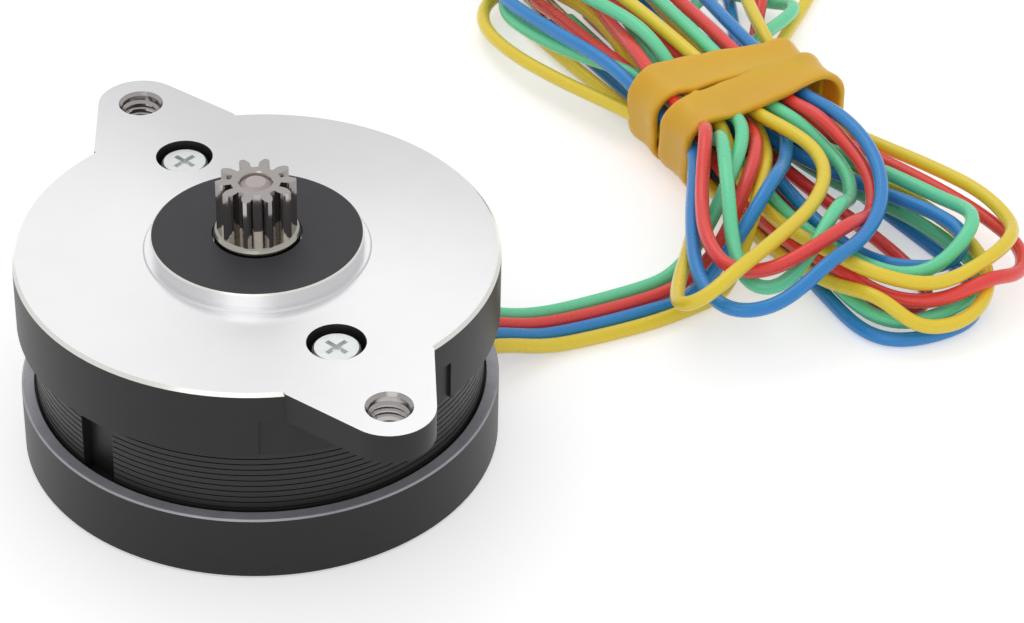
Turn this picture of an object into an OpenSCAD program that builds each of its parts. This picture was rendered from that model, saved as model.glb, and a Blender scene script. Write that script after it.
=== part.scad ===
// Round pancake stepper motor with a ten-tooth pinion and four leads folded in a hank.
// Millimetres. +Z is the shaft axis, +X runs along the two ears, z = 0 is the rear face.

/* [Body] */
// Diameter of the round housing
body_d = 36.5; // [36.2:0.1:42]
// Length from the rear face to the front face
body_l = 17; // [17:0.1:20]
// Height of the rear cover
cover_h = 5.5; // [5.4:0.05:6]
// Depth of the front flange skirt
skirt_h = 5.6; // [5.5:0.05:6]
// Thickness of the front plate
plate_t = 2.4; // [2.2:0.05:2.5]
// Thickness of the rear end wall
end_t = 1.6; // [1.4:0.05:1.9]
// Width of the machined rim of each cover
rim_w = 0.95; // [0.8:0.05:1]
// Chamfer on the outer edges of the housing
edge_c = 0.25; // [0.1:0.05:0.4]

/* [Ears] */
// Distance between the two mounting holes
ear_spacing = 43.84; // [43.5:0.02:48]
// Radius of an ear's round tip
ear_tip_r = 3.35; // [3.1:0.05:3.6]
// Radius of a threaded mounting hole
ear_hole_r = 1.5; // [1.25:0.05:1.7]
// Countersink on a mounting hole
ear_hole_c = 0.25; // [0.1:0.05:0.4]

/* [Boss] */
// Diameter of the pilot boss
boss_d = 16; // [14:0.1:18]
// Height of the pilot boss
boss_h = 1.25; // [1.2:0.05:2]
// Radius of the hole in the boss
boss_hole_r = 3.4; // [3.3:0.05:3.6]

/* [Stator] */
// Number of laminations
lam_n = 15; // [15:1:16]
// Width of a pole
pole_w = 3.2; // [2.6:0.1:3.4]
// Thickness of the back iron ring
iron_t = 2.45; // [2:0.05:2.6]
// Thickness of the wire packed on each side of a pole
coil_t = 0.9; // [0.6:0.05:1.1]

/* [Rotor] */
// Air gap between the rotor and the stator teeth
air_gap = 0.1; // [0.08:0.01:0.2]
// Thickness of the magnet disc
magnet_t = 1.1; // [0.8:0.1:2]
// Radius of the shaft in the rotor
shaft_r = 2.5; // [2.3:0.05:3]
// Radius of the shaft in the bearings
journal_r = 2; // [1.8:0.05:2.1]
// Radius of the shaft in the pinion
nose_r = 1.22; // [1:0.02:1.3]

/* [Bearings] */
// Outer radius of a bearing
bearing_r = 4.5; // [4.45:0.05:4.8]
// Width of a bearing
bearing_w = 2.5; // [2.3:0.1:2.6]
// Radius of a ball
ball_r = 0.6; // [0.5:0.02:0.64]
// Number of balls
ball_n = 8; // [6:1:9]

/* [Pinion] */
// Number of pinion teeth
teeth_n = 10; // [10:1:11]
// Tooth module
tooth_m = 0.5; // [0.45:0.01:0.52]
// Length of the pinion
pinion_l = 4.05; // [3:0.05:10]

/* [Screws] */
// Radius of a case screw's thread
screw_r = 1; // [0.9:0.05:1.1]
// Radius of a case screw's head
head_r = 1.78; // [1.6:0.02:1.9]
// Height of a case screw's head
head_h = 1.1; // [0.9:0.05:1.2]
// Radius of the counterbore round a head
cbore_r = 2.2; // [2.1:0.02:2.5]
// Depth of a head's top below the front face
head_drop = 0.45; // [0.3:0.05:0.6]

/* [Leads] */
// Diameter of one insulated lead
lead_d = 1.2; // [1:0.05:1.25]
// Diameter of the tinned copper strands
strand_d = 0.6; // [0.4:0.05:0.7]
// Length of a stripped and tinned end
strip_l = 5; // [3:0.5:8]
// Thickness of the rubber band
band_t = 0.6; // [0.4:0.05:0.65]
// Width of one wrap of the rubber band
band_w = 4.2; // [3:0.1:5]

/* [Hidden] */
$fn = 48;

// Overrun of a cut past the face it opens
cut = 1;
// Clearance of a part that is pressed or seated
fit = 0.03;
// Clearance of a part that turns
run = 0.05;

// Housing
body_r = body_d / 2;
rim_in_r = body_r - rim_w;
seat_lip = 0.22;
stack_r = rim_in_r - seat_lip;
seat_r = stack_r + fit;
seat_rear = 0.75;
seat_front = 0.85;
skirt_z0 = body_l - skirt_h;
stack_z0 = cover_h - seat_rear;
stack_z1 = skirt_z0 + seat_front;
stack_h = stack_z1 - stack_z0;
lam_t = stack_h / lam_n;
plate_z0 = body_l - plate_t;
step_w = 1.05;
wall_in_r = stack_r - step_w;
seat_open_h = 0.35;
boss_c = 0.12;
foot_h = 0.12;
foot_w = 0.55;
foot_r = boss_d / 2 + foot_w;

// Stator
pole_n = 8;
tooth_n = 50;
tooth_pitch_a = 360 / tooth_n;
tooth_share = 0.44;
tooth_h = 0.5;
shoe_t = 0.9;
coil_room = 2.63;
iron_r = stack_r - iron_t;
shoe_r = iron_r - coil_room;
bore_r = shoe_r - shoe_t - tooth_h;
rotor_r = bore_r - air_gap;
pole_teeth = 6;
groove_d = 0.08;
groove_w = 0.1;
notch_w = 3.2;
notch_d = 0.9;
notch_a = -69.3;

// Bobbins and coils
liner_t = 0.4;
pad_t = 0.4;
lip_h = 1.9;
coil_gap = 0.05;
lip_r = iron_r + liner_t;
// Radial room between a pole shoe and the back iron at a given half width
function reach_at(half) = sqrt(iron_r * iron_r - half * half) - shoe_r - 2 * coil_gap;

// Rotor
cup_t = (stack_h - magnet_t) / 2;
cup_rim_w = 2.2;
cup_hub_w = 1.2;
cup_hollow_r = rotor_r - cup_rim_w;
cup_hub_r = shaft_r + cup_hub_w;
cup_hollow_d = 1.1;

// Bearings
front_bearing_z0 = body_l + boss_h - 0.6 - bearing_w;
rear_bearing_z0 = 1.1;
inner_race_r = journal_r + 0.85;
outer_race_r = bearing_r - 0.85;
ball_ring_r = (inner_race_r + outer_race_r) / 2;
groove_r = ball_r + 0.04;
cage_t = 0.36;
cage_h = 1;
shield_t = 0.15;
shield_drop = 0.05;
shield_step = 0.16;
spacer_r = 2.85;
wave_h = 0.4;
wave_t = 0.15;
wave_n = 3;
hub_t = 1.4;

// Pinion
collar_gap = 0.15;
collar_rise = 0.55;
collar_c = 0.3;
collar_r = boss_hole_r - collar_gap;
boss_z1 = body_l + boss_h;
collar_top = boss_z1 + collar_rise;
pinion_z0 = collar_top;
pinion_turn_a = -4.5;
pinion_z1 = pinion_z0 + pinion_l;
pitch_r = tooth_m * teeth_n / 2;
tip_r = pitch_r + tooth_m;
root_r = pitch_r - 1.25 * tooth_m;
base_r = pitch_r * cos(20);
bore_c = 0.1;
nose_c = 0.45;
nose_drop = 0.05;

// Screws
screw_gap = 0.18;
screw_x = iron_r - screw_r - screw_gap;
head_z1 = body_l - head_drop;
head_z0 = head_z1 - head_h;
screw_z0 = end_t - 0.4;
post_r = screw_r + 0.85;
head_c = 0.15;
recess_w = 0.4;
recess_l = 2;
recess_d = 0.35;

// Ear
ear_x = ear_spacing / 2;
ear_root_x = body_r * 0.948;
ear_root_y = body_r * 0.325;
ear_tan_a = 26.5;
pocket_a = 25;
pocket_d = 0.25;
pocket_drop = 2.6;

// Lead outlet
outlet_w = 8;
outlet_h = 2.8;
outlet_z = 3.05;
outlet_y0 = wall_in_r - 0.7;
outlet_y1 = body_r - 0.45;
outlet_back = 0.6;
lead_pitch = 1.6;
lead_r = lead_d / 2;
lead_hole_r = lead_r + run;

// Free stretch of each lead, from the bottom of its hole to the side of the hank
lead_y0 = outlet_y0 + outlet_back;
lead_y1 = 36;
floor_z = 0.65;
green_route = [[-2.4, 0, outlet_z], [-2.4, 2, outlet_z], [-2.4, 3.5, 2.7], [-2.4, 5, 2.2],
  [-2.3, 8, 1], [-2, 11, floor_z], [-1.7, 15, floor_z], [-1.6, 18.5, floor_z]];
red_route = [[-0.8, 0, outlet_z], [-0.8, 2, outlet_z], [-0.8, 3.5, 2.7], [-0.8, 5, 2.2],
  [-0.8, 8, 1], [-0.6, 11, floor_z], [-0.2, 15, floor_z], [-0.1, 18.5, floor_z]];
blue_route = [[0.8, 0, outlet_z], [0.8, 2, outlet_z], [0.8, 3.5, 2.7], [0.8, 5, 2.2],
  [0.8, 8, 1], [0.9, 11, floor_z], [1.3, 15, floor_z], [1.4, 18.5, floor_z]];
yellow_route = [[2.4, 0, outlet_z], [2.4, 2, outlet_z], [2.4, 3.5, 2.7], [2.4, 5, 2.2],
  [2.3, 8, 1], [2.4, 11, floor_z], [2.8, 15, floor_z], [2.9, 18.5, floor_z]];
tube_sides = 8;

// Hank: outer shape of the folded leads, as [x, y, radius] of the round ends of each lobe
waist_w = 15.2;
waist_h = 6.4;
waist_y = 53;
waist_x0 = -20.8;
waist_round = 2.4;
near_ends = [[-15, waist_y, waist_w / 2], [2, 39, 5], [9.2, 57, 7]];
far_ends = [[-18, waist_y, waist_w / 2], [-42, 47, 5.5], [-51, 55, 6], [-41, 71.4, 5.6]];
near_h = 5.4;
far_h = 4.6;
near_flat = 12;
tip_n = 4;
tip_pitch = 2;
tip_x = -41;
tip_y = 49;
window_l = 6.5;
window_w = 9;
wrap_step = 0.15;

module annulus(r0, r1, z0, z1) {
  rotate_extrude() polygon([[r0, z0], [r1, z0], [r1, z1], [r0, z1]]);
}

module disc(r, z0, z1) {
  translate([0, 0, z0]) cylinder(r = r, h = z1 - z0);
}

module ear_pair() {
  for (side = [0, 180]) rotate(side) children();
}

module at_screws() {
  for (side = [-1, 1]) translate([side * screw_x, 0, 0]) children();
}

// Front flange: face plate with two ears, pilot boss, skirt and bearing pocket
module ear_blank() {
  tx = ear_x + ear_tip_r * sin(ear_tan_a);
  ty = ear_tip_r * cos(ear_tan_a);
  translate([ear_x, 0, plate_z0]) cylinder(r = ear_tip_r, h = plate_t);
  translate([0, 0, plate_z0]) linear_extrude(plate_t)
    polygon([[0, -ear_root_y], [ear_root_x, -ear_root_y], [tx, -ty],
             [tx, ty], [ear_root_x, ear_root_y], [0, ear_root_y]]);
}

module ear_hole() {
  translate([ear_x, 0, plate_z0 - cut]) cylinder(r = ear_hole_r, h = plate_t + 2 * cut);
  translate([ear_x, 0, 0]) rotate_extrude()
    polygon([[0, body_l - ear_hole_c], [ear_hole_r, body_l - ear_hole_c],
             [ear_hole_r + ear_hole_c, body_l], [ear_hole_r + ear_hole_c, body_l + cut],
             [0, body_l + cut]]);
}

module flange_shell() {
  rotate_extrude() polygon([
    [0, plate_z0], [wall_in_r, plate_z0], [wall_in_r, stack_z1], [seat_r, stack_z1],
    [seat_r, skirt_z0], [body_r, skirt_z0], [body_r, body_l - edge_c],
    [body_r - edge_c, body_l], [foot_r, body_l], [foot_r - foot_h, body_l + foot_h],
    [boss_d / 2, body_l + foot_h], [boss_d / 2, boss_z1 - boss_c],
    [boss_d / 2 - boss_c, boss_z1], [0, boss_z1]]);
}

module front_flange() {
  color([0.8, 0.81, 0.83]) difference() {
    union() {
      flange_shell();
      ear_pair() ear_blank();
      at_screws() disc(post_r, stack_z1, plate_z0 + fit);
    }
    disc(boss_hole_r, plate_z0 - cut, body_l + boss_h + cut);
    disc(bearing_r + fit, plate_z0 - cut, front_bearing_z0 + bearing_w);
    at_screws() disc(cbore_r, head_z0, body_l + cut);
    at_screws() disc(screw_r + run, stack_z1 - cut, body_l);
    ear_pair() ear_hole();
    ear_pair() translate([0, 0, skirt_z0 - cut]) rotate(-pocket_a)
      rotate_extrude(angle = 2 * pocket_a) polygon([
        [body_r - pocket_d, 0], [body_r + cut, 0],
        [body_r + cut, plate_z0 - skirt_z0 + cut], [body_r - pocket_d, plate_z0 - skirt_z0 + cut]]);
  }
}

// Rear cover: end wall, side wall with a stack seat, bearing hub, screw posts and lead slot
module rear_cover() {
  color([0.23, 0.22, 0.21]) difference() {
    union() {
      rotate_extrude() polygon([
        [0, 0], [body_r - edge_c, 0], [body_r, edge_c], [body_r, cover_h - edge_c / 2],
        [body_r - edge_c / 2, cover_h], [rim_in_r, cover_h], [rim_in_r, cover_h - seat_open_h],
        [seat_r, cover_h - seat_open_h], [seat_r, stack_z0], [wall_in_r, stack_z0],
        [wall_in_r, end_t], [0, end_t]]);
      disc(bearing_r + hub_t, end_t - fit, rear_bearing_z0 + bearing_w);
      at_screws() disc(post_r, end_t - fit, stack_z0);
    }
    disc(bearing_r + fit, rear_bearing_z0 - wave_h, rear_bearing_z0 + bearing_w + cut);
    at_screws() disc(screw_r, screw_z0, stack_z0 + cut);
    translate([-outlet_w / 2, 0, outlet_z - outlet_h / 2]) translate([0, outlet_y0, 0])
      cube([outlet_w, body_r, outlet_h]);
  }
}

// Stator core: stack of laminations with eight toothed poles
module stator_tooth_cut() {
  for (k = [0:pole_teeth - 2]) rotate((k - pole_teeth / 2 + 1) * tooth_pitch_a)
    rotate(-tooth_pitch_a * (1 - tooth_share) / 2)
      rotate_extrude(angle = tooth_pitch_a * (1 - tooth_share)) polygon([
        [bore_r - cut, -cut], [bore_r + tooth_h, -cut],
        [bore_r + tooth_h, stack_h + cut], [bore_r - cut, stack_h + cut]]);
}

module stator_pole() {
  shoe_a = tooth_pitch_a * (pole_teeth - 1 + tooth_share);
  difference() {
    rotate(-shoe_a / 2) rotate_extrude(angle = shoe_a)
      polygon([[bore_r, 0], [shoe_r, 0], [shoe_r, stack_h], [bore_r, stack_h]]);
    stator_tooth_cut();
  }
  translate([shoe_r - shoe_t / 2, -pole_w / 2, 0])
    cube([iron_r + iron_t / 2 - shoe_r + shoe_t / 2, pole_w, stack_h]);
}

module stator_core() {
  color([0.16, 0.15, 0.16]) translate([0, 0, stack_z0]) {
    difference() {
      rotate_extrude() polygon(concat(
        [[iron_r, 0], [stack_r, 0]],
        [for (k = [1:lam_n - 1], p = [[0, -1], [-1, -1], [-1, 1], [0, 1]])
          [stack_r + p[0] * groove_d, k * lam_t + p[1] * groove_w / 2]],
        [[stack_r, stack_h], [iron_r, stack_h]]));
      for (side = [0, 180]) rotate(notch_a + side)
        translate([stack_r - notch_d, -notch_w / 2, -cut])
          cube([notch_d + cut, notch_w, stack_h + 2 * cut]);
    }
    for (k = [0:pole_n - 1]) rotate((k + 0.5) * 360 / pole_n) stator_pole();
  }
}

// Bobbins: one insulating half on each end of the stack
module bobbin_arm() {
  reach = reach_at(pole_w / 2 + liner_t);
  half = stack_h / 2 - coil_gap;
  for (side = [-1, 1]) translate([shoe_r, side * (pole_w + liner_t) / 2 - liner_t / 2, -half])
    cube([reach, liner_t, half + pad_t]);
  translate([shoe_r - coil_gap, -pole_w / 2, 0]) cube([lip_r - shoe_r, pole_w, pad_t]);
  translate([shoe_r - shoe_t + coil_gap, -pole_w, 0]) cube([shoe_t - coil_gap, 2 * pole_w, lip_h]);
}

module bobbin() {
  difference() {
    annulus(iron_r, lip_r, 0, lip_h);
    for (side = [-1, 1]) translate([side * screw_x, 0, -cut])
      cylinder(r = post_r + 2 * run, h = lip_h + 2 * cut);
  }
  for (k = [0:pole_n - 1]) rotate((k + 0.5) * 360 / pole_n) bobbin_arm();
}

module bobbin_front() {
  color([0.93, 0.92, 0.86]) translate([0, 0, stack_z1]) bobbin();
}

module bobbin_rear() {
  color([0.93, 0.92, 0.86]) translate([0, 0, stack_z0]) mirror([0, 0, 1]) bobbin();
}

// Winding of one pole, packed round the two bobbin halves
module winding(k) {
  inner_w = pole_w + 2 * liner_t + 2 * coil_gap;
  inner_h = stack_h + 2 * pad_t + 2 * coil_gap;
  reach = reach_at(inner_w / 2 + coil_t);
  color([0.72, 0.4, 0.2]) translate([0, 0, stack_z0 + stack_h / 2])
    rotate((k - 0.5) * 360 / pole_n) translate([shoe_r + coil_gap, 0, 0]) difference() {
      translate([0, -inner_w / 2 - coil_t, -inner_h / 2 - coil_t])
        cube([reach, inner_w + 2 * coil_t, inner_h + 2 * coil_t]);
      translate([-cut, -inner_w / 2, -inner_h / 2]) cube([reach + 2 * cut, inner_w, inner_h]);
    }
}

// Rotor
module shaft() {
  color([0.62, 0.62, 0.64]) rotate_extrude() polygon([
    [0, rear_bearing_z0], [journal_r - edge_c, rear_bearing_z0],
    [journal_r, rear_bearing_z0 + edge_c], [journal_r, stack_z0],
    [shaft_r, stack_z0], [shaft_r, stack_z1], [journal_r, stack_z1],
    [journal_r, front_bearing_z0 + bearing_w], [nose_r, front_bearing_z0 + bearing_w],
    [nose_r, pinion_z1 - nose_drop - nose_c / 2], [nose_r - nose_c, pinion_z1 - nose_drop],
    [0, pinion_z1 - nose_drop]]);
}

module rotor_cup() {
  difference() {
    annulus(shaft_r, rotor_r, 0, cup_t);
    annulus(cup_hub_r, cup_hollow_r, cup_t - cup_hollow_d, cup_t + cut);
    for (k = [0:tooth_n - 1]) rotate((k + tooth_share / 2) * tooth_pitch_a)
      rotate_extrude(angle = tooth_pitch_a * (1 - tooth_share)) polygon([
        [rotor_r - tooth_h, -cut], [rotor_r + cut, -cut],
        [rotor_r + cut, cup_t + cut], [rotor_r - tooth_h, cup_t + cut]]);
  }
}

module rotor_cup_front() {
  color([0.5, 0.5, 0.52]) translate([0, 0, stack_z1 - cup_t]) rotor_cup();
}

module rotor_magnet() {
  color([0.35, 0.35, 0.37])
    annulus(shaft_r, rotor_r - tooth_h - air_gap, stack_z0 + cup_t, stack_z1 - cup_t);
}

module rotor_cup_rear() {
  color([0.5, 0.5, 0.52]) translate([0, 0, stack_z0 + cup_t]) mirror([0, 0, 1])
    rotate(tooth_pitch_a / 2) rotor_cup();
}

module rotor_spacer_front() {
  color([0.75, 0.6, 0.3]) annulus(journal_r, spacer_r, stack_z1, front_bearing_z0);
}

module rotor_spacer_rear() {
  color([0.75, 0.6, 0.3])
    annulus(journal_r, spacer_r, rear_bearing_z0 + bearing_w, stack_z0);
}

module pinion_collar() {
  color([0.75, 0.74, 0.7]) rotate_extrude() polygon([
    [nose_r, front_bearing_z0 + bearing_w], [inner_race_r, front_bearing_z0 + bearing_w],
    [collar_r, boss_z1 - collar_c], [collar_r, collar_top - collar_c],
    [collar_r - collar_c / 3, collar_top - collar_c / 3], [collar_r - collar_c, collar_top],
    [nose_r, collar_top]]);
}

// Pinion teeth: involute flanks of 20 degrees on the base circle
function inv_a(r) = let (a = acos(base_r / r)) tan(a) * 180 / PI - a;
tooth_half_a = 90 / teeth_n + tan(20) * 180 / PI - 20;
flank_shares = [0, 0.2, 0.45, 0.72, 1];
function flank(side) = [for (s = flank_shares) let (r = base_r + s * (tip_r - base_r))
  [r, side * (tooth_half_a - inv_a(r))]];
function tooth_points(k) = concat(
  [[root_r, -tooth_half_a]], flank(-1),
  [for (i = [len(flank_shares) - 1:-1:0]) flank(1)[i]], [[root_r, tooth_half_a]]);

module pinion_gear() {
  color([0.6, 0.6, 0.62]) difference() {
    translate([0, 0, pinion_z0]) rotate(pinion_turn_a) linear_extrude(pinion_l)
      polygon([for (k = [0:teeth_n - 1], p = tooth_points(k))
        [p[0] * cos(p[1] + k * 360 / teeth_n), p[0] * sin(p[1] + k * 360 / teeth_n)]]);
    disc(nose_r, pinion_z0 - cut, pinion_z1 + cut);
    rotate_extrude() polygon([[0, pinion_z1 - bore_c], [nose_r, pinion_z1 - bore_c],
      [nose_r + bore_c, pinion_z1], [nose_r + bore_c, pinion_z1 + cut], [0, pinion_z1 + cut]]);
  }
}

// Ball bearing parts, each with its lower face at z = 0
module race_groove() {
  rotate_extrude() translate([ball_ring_r, bearing_w / 2]) circle(r = groove_r);
}

module outer_race() {
  color([0.7, 0.71, 0.73]) difference() {
    annulus(outer_race_r, bearing_r, 0, bearing_w);
    race_groove();
    for (z = [-cut, bearing_w - shield_t - shield_drop])
      annulus(outer_race_r - cut, outer_race_r + shield_step, z, z + cut + shield_t + shield_drop);
  }
}

module inner_race() {
  color([0.76, 0.77, 0.79]) difference() {
    annulus(journal_r, inner_race_r, 0, bearing_w);
    race_groove();
  }
}

module balls() {
  color([0.85, 0.85, 0.87]) for (k = [0:ball_n - 1]) rotate(k * 360 / ball_n)
    translate([ball_ring_r, 0, bearing_w / 2]) sphere(r = ball_r);
}

module cage() {
  color([0.75, 0.68, 0.45]) difference() {
    annulus(ball_ring_r - cage_t / 2, ball_ring_r + cage_t / 2,
      (bearing_w - cage_h) / 2, (bearing_w + cage_h) / 2);
    for (k = [0:ball_n - 1]) rotate(k * 360 / ball_n)
      translate([ball_ring_r, 0, bearing_w / 2]) sphere(r = ball_r + run);
  }
}

module shields() {
  color([0.6, 0.6, 0.62]) for (z = [shield_drop, bearing_w - shield_t - shield_drop])
    annulus(inner_race_r + 2 * run, outer_race_r + shield_step - fit, z, z + shield_t);
}

module at_front() { translate([0, 0, front_bearing_z0]) children(); }
module at_rear() { translate([0, 0, rear_bearing_z0]) children(); }

// Wavy spring washer that loads the rear bearing
module wave_washer() {
  r0 = bearing_r - 1;
  r1 = bearing_r - 2 * run;
  steps = 36;
  rise = wave_h - wave_t;
  function z_at(i) = rear_bearing_z0 - wave_h + rise * (1 - cos(wave_n * i * 360 / steps)) / 2;
  points = [for (i = [0:steps - 1]) let (a = i * 360 / steps, z = z_at(i))
    each [[r0 * cos(a), r0 * sin(a), z], [r1 * cos(a), r1 * sin(a), z],
          [r1 * cos(a), r1 * sin(a), z + wave_t], [r0 * cos(a), r0 * sin(a), z + wave_t]]];
  faces = [for (i = [0:steps - 1], j = [0:3])
    let (a = 4 * i + j, b = 4 * i + (j + 1) % 4,
         c = 4 * ((i + 1) % steps) + (j + 1) % 4, d = 4 * ((i + 1) % steps) + j)
    each [[a, c, b], [a, d, c]]];
  color([0.55, 0.55, 0.57]) polyhedron(points, faces);
}

// Case screws with a cross recess
module case_screws() {
  color([0.83, 0.84, 0.85]) at_screws() difference() {
    rotate_extrude() polygon([[0, screw_z0], [screw_r - edge_c, screw_z0],
      [screw_r, screw_z0 + edge_c], [screw_r, head_z0], [head_r, head_z0],
      [head_r, head_z1 - head_c], [head_r - head_c, head_z1], [0, head_z1]]);
    for (a = [20, 110]) rotate(a) translate([-recess_l / 2, -recess_w / 2, head_z1 - recess_d])
      cube([recess_l, recess_w, recess_d + cut]);
  }
}

// Plastic outlet block in the slot of the rear cover, with four blind lead holes
module lead_outlet() {
  color([0.88, 0.87, 0.82]) difference() {
    translate([fit - outlet_w / 2, outlet_y0, outlet_z - outlet_h / 2])
      cube([outlet_w - 2 * fit, outlet_y1 - outlet_y0, outlet_h - fit]);
    for (k = [0:3]) translate([(k - 1.5) * lead_pitch, outlet_y0 + outlet_back, outlet_z])
      rotate([-90, 0, 0]) cylinder(r = lead_hole_r, h = body_r);
  }
}

// Leads: one swept tube of eight sides along each free stretch
function unit(v) = v / norm(v);
function tube_points(route) = let (n = len(route)) [for (i = [0:n - 1])
  let (d = i == 0 || i == n - 1 ? [0, 1, 0] : unit(route[i + 1] - route[i - 1]),
       side = unit(cross(d, [0, 0, 1])), up = cross(side, d))
  for (k = [0:tube_sides - 1]) let (a = k * 360 / tube_sides)
    route[i] + lead_r * (cos(a) * side + sin(a) * up)];
function ring_faces(n, m) = [for (i = [0:n - 2], k = [0:m - 1])
  let (a = i * m + k, b = i * m + (k + 1) % m) each [[a, b, b + m], [a, b + m, a + m]]];
function end_faces(n, m) = [[for (k = [m - 1:-1:0]) k], [for (k = [0:m - 1]) (n - 1) * m + k]];

module lead(route) {
  last = len(route) - 1;
  line = [for (i = [0:last]) i == last ? [route[i][0], lead_y1, route[i][2]]
    : [route[i][0], lead_y0 + route[i][1], route[i][2]]];
  polyhedron(tube_points(line), concat(ring_faces(len(line), tube_sides),
    end_faces(len(line), tube_sides)));
}

module lead_green() { color([0.43, 0.8, 0.57]) lead(green_route); }
module lead_red() { color([0.89, 0.22, 0.24]) lead(red_route); }
module lead_blue() { color([0.18, 0.49, 0.78]) lead(blue_route); }
module lead_yellow() { color([0.94, 0.8, 0.22]) lead(yellow_route); }

// Hank of the folded leads: two lobes drawn in at the waist
module lobe(ends, h) {
  linear_extrude(h) hull() for (e = ends) translate([e[0], e[1]]) circle(r = e[2]);
}

module waist_bar(x0, x1, grow) {
  r = waist_round + grow;
  y0 = waist_y - waist_w / 2 - grow;
  z0 = band_t - grow;
  w = waist_w + 2 * grow;
  h = waist_h + 2 * grow;
  translate([x0, 0, 0]) rotate([90, 0, 90]) linear_extrude(x1 - x0) {
    translate([y0 + r, z0]) square([w - 2 * r, h]);
    translate([y0, z0 + r]) square([w, h - 2 * r]);
    for (y = [y0 + r, y0 + w - r], z = [z0 + r, z0 + h - r]) translate([y, z]) circle(r = r);
  }
}

module lead_hank() {
  waist_x1 = waist_x0 + 2 * band_w;
  color([0.85, 0.55, 0.3]) union() {
    difference() {
      lobe(near_ends, near_h);
      translate([waist_x1 - body_d, 0, -cut]) cube([body_d, 2 * waist_y, near_h + 2 * cut]);
      translate([-near_flat / 2, 0, -cut]) cube([near_flat, lead_y1, near_h + 2 * cut]);
    }
    difference() {
      lobe(far_ends, far_h);
      translate([waist_x0, 0, -cut]) cube([body_d, 2 * waist_y, far_h + 2 * cut]);
      translate([tip_x - window_l, tip_y - window_w / 2, -cut])
        cube([window_l, window_w, far_h + 2 * cut]);
    }
    waist_bar(waist_x0 - cut, waist_x1 + cut, 0);
  }
}

// Rubber band in two wraps round the waist, and the tinned ends of the four leads
module band_ring(x0, x1, t) {
  difference() {
    waist_bar(x0, x1, t);
    waist_bar(x0 - cut, x1 + cut, 0);
  }
}

module rubber_band() {
  color([0.88, 0.65, 0.2]) {
    band_ring(waist_x0, waist_x0 + band_w, band_t);
    band_ring(waist_x0 + band_w, waist_x0 + 2 * band_w, band_t - wrap_step);
  }
}

module lead_tips() {
  color([0.8, 0.8, 0.8]) for (k = [0:tip_n - 1])
    translate([tip_x, tip_y + (k - (tip_n - 1) / 2) * tip_pitch, floor_z]) rotate([0, -90, 0])
      cylinder(r = strand_d / 2, h = strip_l);
}

module front_bearing_outer() { at_front() outer_race(); }
module front_bearing_inner() { at_front() inner_race(); }
module front_bearing_balls() { at_front() balls(); }
module front_bearing_cage() { at_front() cage(); }
module front_bearing_shields() { at_front() shields(); }
module rear_bearing_outer() { at_rear() outer_race(); }
module rear_bearing_inner() { at_rear() inner_race(); }
module rear_bearing_balls() { at_rear() balls(); }
module rear_bearing_cage() { at_rear() cage(); }
module rear_bearing_shields() { at_rear() shields(); }

front_flange();
rear_cover();
stator_core();
bobbin_front();
bobbin_rear();
winding(1);  // winding_1
winding(2);  // winding_2
winding(3);  // winding_3
winding(4);  // winding_4
winding(5);  // winding_5
winding(6);  // winding_6
winding(7);  // winding_7
winding(8);  // winding_8
shaft();
rotor_cup_front();
rotor_magnet();
rotor_cup_rear();
rotor_spacer_front();
rotor_spacer_rear();
pinion_collar();
pinion_gear();
front_bearing_outer();
front_bearing_inner();
front_bearing_balls();
front_bearing_cage();
front_bearing_shields();
rear_bearing_outer();
rear_bearing_inner();
rear_bearing_balls();
rear_bearing_cage();
rear_bearing_shields();
wave_washer();
case_screws();
lead_outlet();
lead_green();
lead_red();
lead_blue();
lead_yellow();
lead_hank();
rubber_band();
lead_tips();
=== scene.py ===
"""Looks of a round pancake stepper motor with a pinion and four folded leads.

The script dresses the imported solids, builds the four leads, the rubber band and the
threads of the ears, and sets the camera, the floor and the lamps. Sizes are in
millimetres and are turned into metres where Blender takes them.
"""
import logging
import math
from dataclasses import dataclass, field
from enum import Enum
from typing import Callable, Iterable, Sequence

import bpy
import numpy as np
from mathutils import Matrix, Vector

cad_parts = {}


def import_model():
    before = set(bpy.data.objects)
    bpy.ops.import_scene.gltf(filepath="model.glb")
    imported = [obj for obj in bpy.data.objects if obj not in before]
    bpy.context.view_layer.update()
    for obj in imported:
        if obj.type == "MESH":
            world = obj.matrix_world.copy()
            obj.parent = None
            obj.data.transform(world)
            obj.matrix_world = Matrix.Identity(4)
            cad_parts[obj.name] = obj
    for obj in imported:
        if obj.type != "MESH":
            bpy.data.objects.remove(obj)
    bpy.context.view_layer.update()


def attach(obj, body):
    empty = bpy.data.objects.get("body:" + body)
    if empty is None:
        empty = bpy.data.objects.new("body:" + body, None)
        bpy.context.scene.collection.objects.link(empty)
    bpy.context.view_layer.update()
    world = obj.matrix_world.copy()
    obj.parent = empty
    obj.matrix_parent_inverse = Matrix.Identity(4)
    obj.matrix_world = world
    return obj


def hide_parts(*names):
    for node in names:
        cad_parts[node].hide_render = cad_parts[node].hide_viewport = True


LOG = logging.getLogger("motor")
MM = 0.001
FIXED_BODY = "stator"

# The holes in the two ears of the front flange.
EAR_X = 21.92
EAR_HOLE_R = 1.5
# The range that a noise value mostly keeps to, and the layers of a coarse noise.
NOISE_RANGE = (0.25, 0.75)
COARSE_DETAIL = 2
# Two stretches count as parallel below this spread of their directions.
PARALLEL = 1e-9

Point = tuple[float, float, float]
Colour = tuple[float, float, float]
Wave = tuple[float, int, int]


def metres(point: Sequence[float]) -> Vector:
    """Return a point given in millimetres as a vector in metres."""
    return Vector([value * MM for value in point])


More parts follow.
